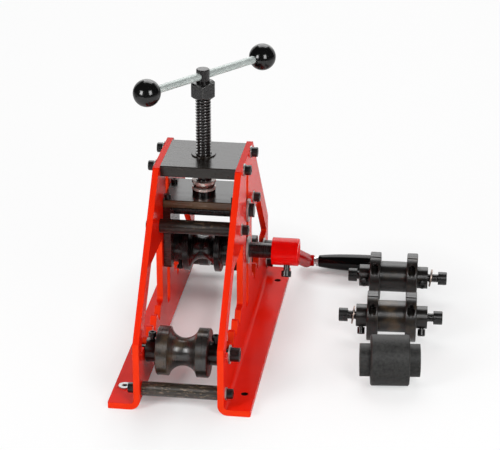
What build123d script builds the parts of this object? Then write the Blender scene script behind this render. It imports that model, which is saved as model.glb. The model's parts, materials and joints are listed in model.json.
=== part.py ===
from build123d import *
import os
from math import asin, atan2, cos, degrees, floor, radians, sin, tan

os.makedirs("parts", exist_ok=True)

# A hand-cranked roller for bending pipe, with two spare sets of lower tooling and a spare upper roller.
# X runs across the machine towards the crank, Y along it away from the operator, Z up.
# The origin is on the floor, midway between the four holes in the feet.

# Side plates
plate_gap = 97.0  # between the two plates
plate_thickness = 8.0
base_length = 430.0
plate_height = 260.0
top_length = 110.0
end_height = 88.0  # upright part of each end, below the slanted edge
top_corner_radius = 4.0
end_corner_radius = 6.0
foot_width = 33.0  # outside the plate's outer face
foot_corner_radius = 2.0
bend_radius = 5.0  # on the inside of the bend into the foot
anchor_hole_diameter = 9.0
anchor_from_wall = 19.7
anchor_spacing = 340.0

# Windows and notches in the side plates
post_width = 86.0  # between the two windows of a plate
window_bottom = 70.0
window_top = 157.0
window_corner_radius = 5.0
window_toe_radius = 2.0
strut_width = 22.7  # square to the slanted edge
notch_pitch = 31.5
notch_clearance = 0.25
notch_flank = 31.0  # of each side of a notch, from upright
seat_depth = 9.5  # from the window's lower edge to the middle of an axle
lip_radius = 1.2
toe_land = 15.3  # flat between the toe of the window and the first notch
front_notch = 0  # counted inwards from the toe of the window
rear_notch = 0

# Fits
running_clearance = 0.05  # radial, a shaft in its bore
thread_clearance = 0.1  # radial, a screw in its tapped hole
slot_clearance = 0.3  # radial, a shaft in the slots of the side plates
side_clearance = 0.25  # beside a roller
cheek_clearance = 0.5  # between the carriage and a side plate
washer_clearance = 0.4  # between a sliding washer and a side plate
hole_runout = 4.0  # drilled beyond the end of a screw
dimple_depth = 1.0  # where a set screw bites into a shaft

# Socket-head screws, hexagon bolts and washers
m5_shank = 5.0
m5_head = 8.5
m5_head_height = 5.0
m5_socket = 4.0
m6_shank = 6.0
m6_head = 10.0
m6_head_height = 6.0
m6_socket = 5.0
m8_shank = 8.0
m8_head = 13.0
m8_head_height = 8.0
m8_socket = 6.0
m8_washer = 16.0
m8_washer_thickness = 1.6
loose_washer_hole = 6.6
m12_shank = 12.0
m12_head = 18.0
m12_head_height = 12.0
m12_low_head_height = 9.0
m12_socket = 10.0
m12_washer = 24.0
m12_washer_thickness = 1.8
m10_shank = 10.0
m10_across_flats = 17.0
m10_head_height = 6.4
hole_clearance = 0.5  # radial, a screw in a plain hole
head_chamfer = 0.8
frame_screw_length = 25.0
axle_bolt_length = 30.0
collar_screw_length = 10.0
cheek_screw_length = 25.0
guide_bolt_length = 25.0
roller_screw_length = 16.0
hub_screw_length = 16.0
clamp_screw_length = 16.0
boss_screw_length = 8.0

# Cross bars between the side plates
spacer_diameter = 18.0
lower_spacer_from_end = 16.4
lower_spacer_height = 22.3
upper_spacer_y = 55.7
upper_spacer_height = 181.3
bar_chamfer = 0.8

# Top plate and the nut bush in it
top_plate_length = 95.0
top_plate_thickness = 12.0
top_screw_spacing = 64.0
bush_diameter = 32.0

# Lower rollers, each on a fixed axle between two collars
axle_diameter = 20.0
axle_length = 94.0
roller_diameter = 62.0
roller_width = 65.0
roller_groove_width = 36.0
roller_core = 35.0
roller_chamfer = 1.0
collar_diameter = 30.0
front_screw_angle = 0.0  # of the collar screws, from straight up towards the front
rear_screw_angle = 250.0

# Carriage
carriage_down = 72.0  # eighteen turns of the screw
carriage_up = 20.0  # five turns
shaft_diameter = 20.0  # drive shaft and guide rod, which share the slots
top_room = 5.5  # left under the top plate with the carriage at its highest
guide_above_shaft = 56.0
slot_bottom_margin = 0.5
slot_top_margin = 22.0
cheek_thickness = 9.5
cheek_below_shaft = 16.5
cheek_height = 85.0
carriage_length = 69.0
moving_plate_thickness = 10.0
cheek_corner_radius = 3.0
cheek_screw_from_edge = 8.5
shaft_bush_wall = 2.0
guide_washer = 30.0
guide_washer_thickness = 2.5
shaft_washer = 36.0
shaft_washer_thickness = 2.5

# Thrust bearing under the screw
boss_diameter = 30.0
boss_height = 7.0
race_diameter = 31.0
race_thickness = 2.0
bearing_ball = 4.4
bearing_ball_count = 12
bearing_height = 7.5
cage_thickness = 1.4
cage_width = 4.0
groove_clearance = 0.1

# Press screw
screw_diameter = 20.0
screw_length = 116.0  # from its shoulder to the nut
shoulder_width = 1.5
pilot_recess = 1.0  # from the underside of the moving plate to the end of the pilot
retaining_groove_depth = 2.0
retaining_clearance = 0.3
nut_across_flats = 30.0
nut_height = 20.0
nut_turn = 8.0  # of a corner, from the front towards the crank
nut_chamfer = 3.0  # height of the cone at each end
nut_land = 14.0  # radius of its end faces
head_height = 17.2
bar_below_top = 9.0

# Tommy bar
bar_diameter = 8.0
bar_turn = 52.0  # in plan, from the crank side
bar_offset = 5.5  # along the bar, from its middle
knob_spacing = 200.0
knob_diameter = 35.0
knob_flat = 1.0

# Upper roller on the drive shaft
upper_roller_diameter = 62.0
upper_roller_width = 49.0
upper_roller_groove_width = 34.0
upper_roller_core = 30.0
upper_roller_hub = 42.0
short_hub = 13.0  # hub on the side away from the crank
roller_screw_margin = 1.0  # between a set screw's head and the roller
roller_screw_angles = (150.0, 330.0)

# Crank
crank_gap = 30.4  # bare shaft between its washer and the hub
hub_diameter = 36.0
hub_length = 34.6
hub_recess = 6.0  # from the end of the hub to the end of the shaft
crank_arm_diameter = 20.0
crank_radius = 260.0
crank_end = 8.0  # arm beyond the grip's axis
crank_arm_inset = 19.6  # from the inner end of the hub
spindle_diameter = 10.0
spindle_flange = 15.0
spindle_flange_thickness = 3.0
spindle_gap = 5.0  # bare spindle between arm and flange
grip_length = 80.0
grip_diameter = 25.0
grip_neck = 18.0
grip_end_radius = 5.0
grip_wall = 8.0  # solid end beyond the spindle
grip_clearance = 0.3
floor_gap = 0.4  # under the grip, where the crank hangs down

# Spare tooling on the floor
spare_roller_diameter = 65.0
spare_roller_chamfer = 1.5
spare_roller_x = 252.5
spare_roller_y = -101.0
spare_roller_turn = 6.0
near_set_x = 246.0
near_set_y = 25.0
near_set_turn = 2.9
near_set_screw_angle = 150.0
far_set_x = 240.0
far_set_y = 150.5
far_set_turn = 1.8
far_set_screw_angle = 92.0
flange_diameter = 66.0
flange_width = 14.5
flange_chamfer = 0.8
core_diameter = 42.0
clamp_slit = 2.0
clamp_slit_angle = 15.0  # from straight up towards the front
clamp_screw_radius = 26.0
clamp_seat = 4.5  # from the slit to the screw head
loose_bolt_gap = 11.0  # bare shank at the end that keeps its washer
short_bolt_gap = 8.0  # bare shank at the other end
loose_washer_gap = 4.0  # from the axle to the middle of the washer
loose_washer_tilt = 8.0

# Places worked out from the sizes above
inner_x = plate_gap / 2
outer_x = inner_x + plate_thickness
foot_x = outer_x + foot_width
anchor_x = outer_x + anchor_from_wall
slope_run = (base_length - top_length) / 2
slope_rise = plate_height - end_height
slope_angle = atan2(slope_rise, slope_run)
post_half = post_width / 2
notch_radius = m12_shank / 2 + notch_clearance
seat_height = window_bottom - seat_depth
lower_spacer_y = base_length / 2 - lower_spacer_from_end
top_plate_bottom = plate_height - top_plate_thickness
slot_width = shaft_diameter + 2 * slot_clearance
carriage_stack = moving_plate_thickness + boss_height + bearing_height
cheek_top = top_plate_bottom - top_room - carriage_up - carriage_stack
cheek_bottom = cheek_top - cheek_height
shaft_height = cheek_bottom + cheek_below_shaft
guide_height = shaft_height + guide_above_shaft
cheek_outer = inner_x - cheek_clearance
cheek_inner = cheek_outer - cheek_thickness
boss_bottom = cheek_top + moving_plate_thickness
bearing_bottom = boss_bottom + boss_height
shoulder_height = bearing_bottom + bearing_height
nut_bottom = shoulder_height + screw_length
neck_bottom = nut_bottom + nut_height
screw_top = neck_bottom + head_height
pilot_diameter = screw_diameter - 2 * shoulder_width
bar_height = screw_top - bar_below_top
shaft_end_x = outer_x + washer_clearance
hub_start = shaft_end_x + shaft_washer_thickness + crank_gap
hub_end = hub_start + hub_length
crank_arm_x = hub_start + crank_arm_inset
crank_drop = degrees(asin((shaft_height - grip_diameter / 2 - floor_gap) / crank_radius))
axle_half = axle_length / 2
collar_length = axle_half - roller_width / 2 - side_clearance


def edge_y(height):
    """How far out the slanted edge of a side plate stands at a height."""
    return base_length / 2 - (height - end_height) / tan(slope_angle)


def window_y(height):
    """How far out the slanted side of a window stands at a height."""
    return edge_y(height) - strut_width / sin(slope_angle)


flank = radians(notch_flank)
mouth_half = notch_radius / cos(flank) + seat_depth * tan(flank)
toe_tangent = window_toe_radius / tan(slope_angle / 2)
first_seat = window_y(window_bottom) - toe_tangent - toe_land - lip_radius - mouth_half
last_seat_limit = post_half + window_corner_radius + lip_radius + mouth_half
notch_count = floor((first_seat - last_seat_limit) / notch_pitch) + 1
seats = [first_seat - notch_pitch * i for i in range(notch_count)]
front_axle_y = -seats[front_notch]
rear_axle_y = seats[rear_notch]


def save(piece, name):
    """Label a finished piece and write it to a file of its own."""
    piece.part.label = name
    export_step(piece.part, f"parts/{name}.step")


def shaft_frame(x, y, z, turn=0.0):
    """A frame on a cross shaft: local Z along the shaft, local X up, local Y to the front."""
    heading = (cos(radians(turn)), sin(radians(turn)), 0)
    return Plane(origin=(x, y, z), x_dir=(0, 0, 1), z_dir=heading)


def outward(frame, angle):
    """The direction out of a shaft at an angle that turns from straight up towards the front."""
    return frame.x_dir * cos(radians(angle)) + frame.y_dir * sin(radians(angle))


def radial(frame, along, angle, radius):
    """A plane beside a shaft that faces straight out of it."""
    direction = outward(frame, angle)
    return Plane(origin=frame.origin + frame.z_dir * along + direction * radius, z_dir=direction)


def profile_plane(frame):
    """The plane of a turned profile: local X along the shaft, local Y its radius."""
    return Plane(origin=frame.origin, x_dir=frame.z_dir, z_dir=frame.y_dir)


def shaft_axis(frame):
    """The axis that a profile on a shaft turns about."""
    return Axis(frame.origin, frame.z_dir)


def ends(half):
    """The two ends of a cross shaft: the distance along it and the way that each end faces."""
    return ((-half, -1), (half, 1))


def end_plane(frame, along, way):
    """The plane of a shaft's end face, which faces away from the shaft."""
    return Plane(origin=frame.origin + frame.z_dir * along, x_dir=frame.x_dir, z_dir=frame.z_dir * way)


def tube(frame, start, length, outer, bore=0.0):
    """A round bar along a shaft, or a ring where it has a bore."""
    with BuildPart() as piece:
        with BuildSketch(frame.offset(start)):
            Circle(outer / 2)
            if bore:
                Circle(bore / 2, mode=Mode.SUBTRACT)
        extrude(amount=length)
    return piece.part


def round_edges(piece, diameter):
    """The round edges of a piece that have one diameter."""
    rings = piece.edges().filter_by(GeomType.CIRCLE)
    return rings.filter_by(lambda edge: abs(2 * edge.radius - diameter) < 1e-4)


def socket_screw(shank, head, height, socket, length):
    """A socket-head screw: the head stands above the origin and the shank hangs below it."""
    with BuildPart() as screw:
        with BuildSketch():
            Circle(head / 2)
        extrude(amount=height)
        chamfer(screw.edges().group_by(Axis.Z)[-1], head_chamfer)
        with BuildSketch(Plane.XY.offset(height)):
            RegularPolygon(socket / 2, 6, major_radius=False)
        extrude(amount=-height / 2, mode=Mode.SUBTRACT)
        with BuildSketch():
            Circle(shank / 2)
        extrude(amount=-length)
    return screw.part


def hexagon_bolt(shank, across_flats, height, length):
    """A hexagon bolt: the head stands above the origin and the shank hangs below it."""
    with BuildPart() as bolt:
        with BuildSketch():
            RegularPolygon(across_flats / 2, 6, major_radius=False)
        extrude(amount=height)
        with BuildSketch():
            Circle(shank / 2)
        extrude(amount=-length)
    return bolt.part


m5_screw = socket_screw(m5_shank, m5_head, m5_head_height, m5_socket, cheek_screw_length)
m6_collar_screw = socket_screw(m6_shank, m6_head, m6_head_height, m6_socket, collar_screw_length)
m5_roller_screw = socket_screw(m5_shank, m5_head, m5_head_height, m5_socket, roller_screw_length)
m6_clamp_screw = socket_screw(m6_shank, m6_head, m6_head_height, m6_socket, clamp_screw_length)
m8_frame_screw = socket_screw(m8_shank, m8_head, m8_head_height, m8_socket, frame_screw_length)
m8_hub_screw = socket_screw(m8_shank, m8_head, m8_head_height, m8_socket, hub_screw_length)
m12_bolt = socket_screw(m12_shank, m12_head, m12_head_height, m12_socket, axle_bolt_length)
m12_low_bolt = socket_screw(m12_shank, m12_head, m12_low_head_height, m12_socket, axle_bolt_length)
m10_bolt = hexagon_bolt(m10_shank, m10_across_flats, m10_head_height, guide_bolt_length)

m5_hole = m5_shank + 2 * hole_clearance
m8_hole = m8_shank + 2 * hole_clearance
m10_hole = m10_shank + 2 * hole_clearance
m12_hole = m12_shank + 2 * hole_clearance
m5_tapped = m5_shank + 2 * thread_clearance
m6_tapped = m6_shank + 2 * thread_clearance
m8_tapped = m8_shank + 2 * thread_clearance
m10_tapped = m10_shank + 2 * thread_clearance
m12_tapped = m12_shank + 2 * thread_clearance

# Side plates

# One window, drawn with local X along the machine and local Y up
with BuildSketch() as window:
    with BuildLine():
        Polyline(
            (post_half, window_bottom),
            (post_half, window_top),
            (window_y(window_top), window_top),
            (window_y(window_bottom), window_bottom),
            close=True,
        )
    make_face()
    corners = window.vertices().sort_by(Axis.X)
    fillet(corners[:-1], window_corner_radius)
    fillet(window.vertices().sort_by(Axis.X)[-1], window_toe_radius)
    with Locations(*[(seat, seat_height) for seat in seats]):
        Circle(notch_radius)
    for seat in seats:
        with BuildLine():
            Polyline(
                (seat - mouth_half, window_bottom),
                (seat - notch_radius * cos(flank), seat_height - notch_radius * sin(flank)),
                (seat + notch_radius * cos(flank), seat_height - notch_radius * sin(flank)),
                (seat + mouth_half, window_bottom),
                close=True,
            )
        make_face()
    mouths = [seat + side * mouth_half for seat in seats for side in (-1, 1)]
    lips = [
        corner
        for corner in window.vertices()
        if abs(corner.Y - window_bottom) < 1e-4 and min(abs(corner.X - mouth) for mouth in mouths) < 1e-4
    ]
    fillet(lips, lip_radius)

spacer_places = [
    (-lower_spacer_y, lower_spacer_height),
    (lower_spacer_y, lower_spacer_height),
    (-upper_spacer_y, upper_spacer_height),
    (upper_spacer_y, upper_spacer_height),
]
top_screw_height = top_plate_bottom + top_plate_thickness / 2
top_screw_places = [(-top_screw_spacing / 2, top_screw_height), (top_screw_spacing / 2, top_screw_height)]
slot_bottom = shaft_height - carriage_down - slot_width / 2 - slot_bottom_margin
slot_top = guide_height + carriage_up + slot_width / 2 + slot_top_margin

bend_x = outer_x + bend_radius
bend_z = plate_thickness + bend_radius
heel_radius = bend_radius + plate_thickness
diagonal = cos(radians(45))

with BuildPart() as right_side_plate:
    # The folded section, as long as the base
    with BuildSketch(Plane.XZ):
        with BuildLine():
            Polyline((inner_x, bend_z), (inner_x, plate_height), (outer_x, plate_height), (outer_x, bend_z))
            ThreePointArc(
                (outer_x, bend_z),
                (bend_x - bend_radius * diagonal, bend_z - bend_radius * diagonal),
                (bend_x, plate_thickness),
            )
            Polyline((bend_x, plate_thickness), (foot_x, plate_thickness), (foot_x, 0), (bend_x, 0))
            ThreePointArc(
                (bend_x, 0),
                (bend_x - heel_radius * diagonal, bend_z - heel_radius * diagonal),
                (inner_x, bend_z),
            )
        make_face()
    extrude(amount=base_length / 2, both=True)
    # Its outline from the side, with everything that is cut through the upright wall
    with BuildSketch(Plane.YZ):
        with BuildLine():
            Polyline(
                (-base_length / 2, 0),
                (-base_length / 2, end_height),
                (-top_length / 2, plate_height),
                (top_length / 2, plate_height),
                (base_length / 2, end_height),
                (base_length / 2, 0),
                close=True,
            )
        make_face()
        fillet(vertices().group_by(Axis.Y)[-1], top_corner_radius)
        fillet(vertices().group_by(Axis.Y)[1], end_corner_radius)
        add(window.sketch, mode=Mode.SUBTRACT)
        mirror(window.sketch, about=Plane.YZ, mode=Mode.SUBTRACT)
        with Locations((0, (slot_bottom + slot_top) / 2)):
            SlotOverall(slot_top - slot_bottom, slot_width, rotation=90, mode=Mode.SUBTRACT)
    extrude(amount=foot_x, mode=Mode.INTERSECT)
    with BuildSketch(Plane.YZ.offset(inner_x)):
        with Locations(*spacer_places, *top_screw_places):
            Circle(m8_hole / 2)
    extrude(amount=plate_thickness, mode=Mode.SUBTRACT)
    with BuildSketch(Plane.XY):
        with Locations((anchor_x, -anchor_spacing / 2), (anchor_x, anchor_spacing / 2)):
            Circle(anchor_hole_diameter / 2)
    extrude(amount=plate_thickness, mode=Mode.SUBTRACT)
    fillet(right_side_plate.edges().filter_by(Axis.Z).group_by(Axis.X)[-1], foot_corner_radius)
save(right_side_plate, "right_side_plate")

with BuildPart() as left_side_plate:
    mirror(right_side_plate.part, about=Plane.YZ)
save(left_side_plate, "left_side_plate")

# Top plate and its bush

with BuildPart() as top_plate:
    with BuildSketch(Plane.XY.offset(top_plate_bottom)):
        Rectangle(plate_gap, top_plate_length)
        Circle(bush_diameter / 2 + running_clearance, mode=Mode.SUBTRACT)
    extrude(amount=top_plate_thickness)
    chamfer(top_plate.edges().filter_by(Axis.X).group_by(Axis.Z)[-1], bar_chamfer)
    for side in (-1, 1):
        with BuildSketch(Plane(origin=(side * inner_x, 0, 0), x_dir=(0, 1, 0), z_dir=(side, 0, 0))):
            with Locations(*[(y, side * z) for y, z in top_screw_places]):
                Circle(m8_tapped / 2)
        extrude(
            amount=plate_thickness + m8_washer_thickness - frame_screw_length - hole_runout,
            mode=Mode.SUBTRACT,
        )
save(top_plate, "top_plate")

with BuildPart() as screw_bush:
    bush_bore = screw_diameter + 2 * running_clearance
    add(tube(Plane.XY.offset(top_plate_bottom), 0, top_plate_thickness, bush_diameter, bush_bore))
    chamfer(screw_bush.edges().group_by(Axis.Z)[-1], bar_chamfer)
save(screw_bush, "screw_bush")

# Spacer bars and the screws that hold the frame together

frame_screw_grip = frame_screw_length - m8_washer_thickness - plate_thickness


def cross_bar(frame, half, diameter, tapped, depth):
    """A round bar across the machine, tapped at both ends."""
    with BuildPart() as bar:
        with BuildSketch(frame.offset(-half)):
            Circle(diameter / 2)
        extrude(amount=2 * half)
        chamfer(bar.edges(), bar_chamfer)
        for along, way in ends(half):
            with BuildSketch(end_plane(frame, along, way)):
                Circle(tapped / 2)
            extrude(amount=-depth, mode=Mode.SUBTRACT)
    return bar.part


spacer_names = ["lower_front_spacer", "lower_rear_spacer", "upper_front_spacer", "upper_rear_spacer"]
spacer_hole = frame_screw_grip + hole_runout
for name, (y, z) in zip(spacer_names, spacer_places):
    with BuildPart() as spacer:
        add(cross_bar(shaft_frame(0, y, z), inner_x, spacer_diameter, m8_tapped, spacer_hole))
    save(spacer, name)

with BuildPart() as frame_bolts:
    for y, z in spacer_places + top_screw_places:
        for along, way in ends(outer_x + m8_washer_thickness):
            with Locations(end_plane(shaft_frame(0, y, z), along, way).location):
                add(m8_frame_screw)
save(frame_bolts, "frame_bolts")

m8_flat_washer = tube(Plane.XY, 0, m8_washer_thickness, m8_washer, m8_hole)
with BuildPart() as frame_washers:
    for y, z in spacer_places + top_screw_places:
        for along, way in ends(outer_x):
            with Locations(end_plane(shaft_frame(0, y, z), along, way).location):
                add(m8_flat_washer)
    # One more, with a smaller hole, lies loose on the left foot over its front hole
    with Locations((-anchor_x, -anchor_spacing / 2, plate_thickness)):
        add(tube(Plane.XY, 0, m8_washer_thickness, m8_washer, loose_washer_hole))
save(frame_washers, "frame_washers")

# Lower tooling: the same axle, collars, screws and bolts carry the rollers and the spare sets

end_gap = inner_x - axle_half  # from an axle's end to the side plate
plain_gap = end_gap + plate_thickness
washer_gap = plain_gap + m12_washer_thickness
axle_bolt_grip = axle_bolt_length - min(plain_gap, short_bolt_gap)
collar_middle = axle_half - collar_length / 2
screw_seat_radius = axle_diameter / 2 - dimple_depth + collar_screw_length


def axle_bar(frame, screw_angle):
    """An axle tapped at both ends, with a dimple under each collar screw."""
    with BuildPart() as bar:
        add(cross_bar(frame, axle_half, axle_diameter, m12_tapped, axle_bolt_grip + hole_runout))
        for along, _ in ends(collar_middle):
            with BuildSketch(radial(frame, along, screw_angle, axle_diameter / 2)):
                Circle(m6_tapped / 2)
            extrude(amount=-dimple_depth, mode=Mode.SUBTRACT)
    return bar.part


def collar(frame, along, way, screw_angle):
    """A set collar against the outer end of an axle, tapped for its screw."""
    start = along if way < 0 else along - collar_length
    with BuildPart() as ring:
        add(tube(frame, start, collar_length, collar_diameter, axle_diameter + 2 * running_clearance))
        with BuildSketch(radial(frame, start + collar_length / 2, screw_angle, collar_diameter)):
            Circle(m6_tapped / 2)
        extrude(amount=-collar_diameter, mode=Mode.SUBTRACT)
    return ring.part


def axle_pieces(axles, end_bolts):
    """Collars, collar screws and bolts on some axles; each end has its bolt and its length of bare shank."""
    collars, screws, bolts = [], [], []
    for frame, screw_angle in axles:
        for (along, way), (bolt, gap) in zip(ends(axle_half), end_bolts):
            collars.append(collar(frame, along, way, screw_angle))
            screw_place = radial(frame, way * collar_middle, screw_angle, screw_seat_radius)
            screws.append(m6_collar_screw.moved(screw_place.location))
            bolts.append(bolt.moved(end_plane(frame, along + way * gap, way).location))
    return collars, screws, bolts


def axle_washer(frame, way, gap, tilt=0.0):
    """A washer on an axle bolt; the gap runs from the end of the axle to the washer's middle."""
    middle = end_plane(frame, way * (axle_half + gap), way).rotated((0, tilt, 0))
    return tube(middle, -m12_washer_thickness / 2, m12_washer_thickness, m12_washer, m12_hole)


front_frame = shaft_frame(0, front_axle_y, seat_height)
rear_frame = shaft_frame(0, rear_axle_y, seat_height)
machine_axles = [(front_frame, front_screw_angle), (rear_frame, rear_screw_angle)]

for name, (frame, screw_angle) in zip(("front_axle", "rear_axle"), machine_axles):
    with BuildPart() as axle:
        add(axle_bar(frame, screw_angle))
    save(axle, name)

# Each axle has a bolt at both ends: a low one at the plain side, and one on a washer at the crank side
machine_pieces = axle_pieces(machine_axles, [(m12_low_bolt, plain_gap), (m12_bolt, washer_gap)])
machine_names = ["axle_collars", "collar_screws", "axle_bolts"]
for name, solids in zip(machine_names, machine_pieces):
    with BuildPart() as group:
        add(solids)
    save(group, name)

with BuildPart() as axle_washers:
    for frame in (front_frame, rear_frame):
        add(axle_washer(frame, 1, washer_gap - m12_washer_thickness / 2))
save(axle_washers, "axle_washers")


def grooved_roller(frame, diameter, width, groove_width, core, bore, hubs=()):
    """A roller with a round groove for the pipe, turned about a shaft, with optional hubs at its ends."""
    rim = diameter / 2
    half = width / 2
    left, right = hubs if hubs else (half, half)
    hub = upper_roller_hub / 2 if hubs else bore / 2
    with BuildPart() as roller:
        with BuildSketch(profile_plane(frame)):
            with BuildLine():
                Polyline(
                    (groove_width / 2, rim),
                    (half - roller_chamfer, rim),
                    (half, rim - roller_chamfer),
                    (half, bore / 2),
                    (-half, bore / 2),
                    (-half, rim - roller_chamfer),
                    (-half + roller_chamfer, rim),
                    (-groove_width / 2, rim),
                )
                ThreePointArc((-groove_width / 2, rim), (0, core / 2), (groove_width / 2, rim))
            make_face()
        revolve(axis=shaft_axis(frame))
        if hubs:
            add(tube(frame, -left, left - half, 2 * hub, bore))
            add(tube(frame, half, right - half, 2 * hub, bore))
    return roller.part


axle_bore = axle_diameter + 2 * running_clearance
for name, frame in (("front_roller", front_frame), ("rear_roller", rear_frame)):
    with BuildPart() as roller:
        add(
            grooved_roller(
                frame, roller_diameter, roller_width, roller_groove_width, roller_core, axle_bore
            )
        )
    save(roller, name)

# Carriage

carriage_half = carriage_length / 2
cheek_middle = (cheek_inner + cheek_outer) / 2
cheek_screw_y = carriage_half - cheek_screw_from_edge
cheek_screw_places = [(x, y) for x in (-cheek_middle, cheek_middle) for y in (-cheek_screw_y, cheek_screw_y)]
cheek_screw_depth = cheek_screw_length - moving_plate_thickness + hole_runout
shaft_bush_diameter = shaft_diameter + 2 * shaft_bush_wall
shaft_bore = shaft_diameter + 2 * running_clearance
pilot_bore = pilot_diameter + 2 * running_clearance

with BuildPart() as moving_plate:
    with BuildSketch(Plane.XY.offset(cheek_top)):
        Rectangle(2 * cheek_outer, carriage_length)
        Circle(pilot_bore / 2, mode=Mode.SUBTRACT)
        with Locations(*cheek_screw_places):
            Circle(m5_hole / 2, mode=Mode.SUBTRACT)
    extrude(amount=moving_plate_thickness)
    chamfer(moving_plate.edges().filter_by(Axis.X).group_by(Axis.Z)[-1], bar_chamfer)
save(moving_plate, "moving_plate")

with BuildPart() as right_cheek:
    with BuildSketch(Plane.YZ.offset(cheek_inner)):
        with Locations((0, (cheek_bottom + cheek_top) / 2)):
            Rectangle(carriage_length, cheek_height)
        fillet(vertices().group_by(Axis.Y)[0], cheek_corner_radius)
        with Locations((0, guide_height)):
            Circle(shaft_bore / 2, mode=Mode.SUBTRACT)
        with Locations((0, shaft_height)):
            Circle(shaft_bush_diameter / 2 + running_clearance, mode=Mode.SUBTRACT)
    extrude(amount=cheek_thickness)
    with BuildSketch(Plane.XY.offset(cheek_top)):
        with Locations((cheek_middle, -cheek_screw_y), (cheek_middle, cheek_screw_y)):
            Circle(m5_tapped / 2)
    extrude(amount=-cheek_screw_depth, mode=Mode.SUBTRACT)
save(right_cheek, "right_cheek")

with BuildPart() as left_cheek:
    mirror(right_cheek.part, about=Plane.YZ)
save(left_cheek, "left_cheek")

with BuildPart() as cheek_screws:
    with Locations(*[(x, y, boss_bottom) for x, y in cheek_screw_places]):
        add(m5_screw)
save(cheek_screws, "cheek_screws")

drive_frame = shaft_frame(0, 0, shaft_height)
with BuildPart() as shaft_bushes:
    for start in (-cheek_outer, cheek_inner):
        add(tube(drive_frame, start, cheek_thickness, shaft_bush_diameter, shaft_bore))
save(shaft_bushes, "shaft_bushes")

guide_frame = shaft_frame(0, 0, guide_height)
guide_bolt_grip = guide_bolt_length - guide_washer_thickness
with BuildPart() as guide_rod:
    add(tube(guide_frame, -shaft_end_x, 2 * shaft_end_x, shaft_diameter))
    for along, way in ends(shaft_end_x):
        with BuildSketch(end_plane(guide_frame, along, way)):
            Circle(m10_tapped / 2)
        extrude(amount=-guide_bolt_grip - hole_runout, mode=Mode.SUBTRACT)
save(guide_rod, "guide_rod")

with BuildPart() as guide_bolts:
    for along, way in ends(shaft_end_x + guide_washer_thickness):
        with Locations(end_plane(guide_frame, along, way).location):
            add(m10_bolt)
save(guide_bolts, "guide_bolts")

with BuildPart() as guide_washers:
    for along, way in ends(shaft_end_x):
        add(tube(end_plane(guide_frame, along, way), 0, guide_washer_thickness, guide_washer, m10_hole))
save(guide_washers, "guide_washers")

# Thrust bearing: boss, lower race, caged balls and upper race, round the pilot of the screw

boss_middle = boss_bottom + boss_height / 2
boss_screw_faces = [
    Plane(origin=(0, side * boss_diameter / 2, boss_middle), z_dir=(0, side, 0)) for side in (-1, 1)
]

with BuildPart() as bearing_boss:
    add(tube(Plane.XY.offset(boss_bottom), 0, boss_height, boss_diameter, pilot_bore))
    for face in boss_screw_faces:
        with BuildSketch(face):
            Circle(m5_tapped / 2)
        extrude(amount=-(boss_diameter - pilot_diameter) / 2 - hole_runout, mode=Mode.SUBTRACT)
save(bearing_boss, "bearing_boss")

# Two headless screws reach into the groove of the pilot, so that the screw also lifts the carriage
with BuildPart() as boss_screws:
    for face in boss_screw_faces:
        with BuildSketch(face):
            Circle(m5_shank / 2)
        extrude(amount=-boss_screw_length)
save(boss_screws, "boss_screws")

race_bore = pilot_diameter + 2 * running_clearance
ball_circle = (race_diameter + race_bore) / 4
ball_height = bearing_bottom + bearing_height / 2


def race(bottom):
    """A grooved washer of the thrust bearing, its groove facing the balls."""
    with BuildPart() as ring:
        add(tube(Plane.XY.offset(bottom), 0, race_thickness, race_diameter, race_bore))
        with BuildSketch(Plane.XZ):
            with Locations((ball_circle, ball_height)):
                Circle(bearing_ball / 2 + groove_clearance)
        revolve(axis=Axis.Z, mode=Mode.SUBTRACT)
    return ring.part


with BuildPart() as bearing_lower_race:
    add(race(bearing_bottom))
save(bearing_lower_race, "bearing_lower_race")

with BuildPart() as bearing_upper_race:
    add(race(shoulder_height - race_thickness))
save(bearing_upper_race, "bearing_upper_race")

with BuildPart() as ball_cage:
    cage_plane = Plane.XY.offset(ball_height - cage_thickness / 2)
    cage_outer = 2 * ball_circle + cage_width
    cage_inner = 2 * ball_circle - cage_width
    add(tube(cage_plane, 0, cage_thickness, cage_outer, cage_inner))
    with Locations((0, 0, ball_height)):
        with PolarLocations(ball_circle, bearing_ball_count):
            Sphere(bearing_ball / 2)
save(ball_cage, "ball_cage")

# Press screw, its nut and the tommy bar

tip_height = cheek_top + pilot_recess
groove_half = m5_shank / 2 + retaining_clearance
groove_radius = pilot_diameter / 2 - retaining_groove_depth
neck_radius = pilot_diameter / 2
heading = (cos(radians(bar_turn)), sin(radians(bar_turn)), 0)
bar_middle = (heading[0] * bar_offset, heading[1] * bar_offset, bar_height)
bar_frame = Plane(origin=bar_middle, z_dir=heading)

with BuildPart() as press_screw:
    with BuildSketch(Plane.XZ):
        with BuildLine():
            Polyline(
                (0, tip_height),
                (neck_radius, tip_height),
                (neck_radius, boss_middle - groove_half),
                (groove_radius, boss_middle - groove_half),
                (groove_radius, boss_middle + groove_half),
                (neck_radius, boss_middle + groove_half),
                (neck_radius, shoulder_height),
                (screw_diameter / 2, shoulder_height),
                (screw_diameter / 2, nut_bottom),
                (neck_radius, nut_bottom),
                (neck_radius, screw_top - bar_chamfer),
                (neck_radius - bar_chamfer, screw_top),
                (0, screw_top),
                close=True,
            )
        make_face()
    revolve(axis=Axis.Z)
    with BuildSketch(bar_frame):
        Circle(bar_diameter / 2 + running_clearance)
    extrude(amount=screw_diameter, both=True, mode=Mode.SUBTRACT)
save(press_screw, "press_screw")

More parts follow.
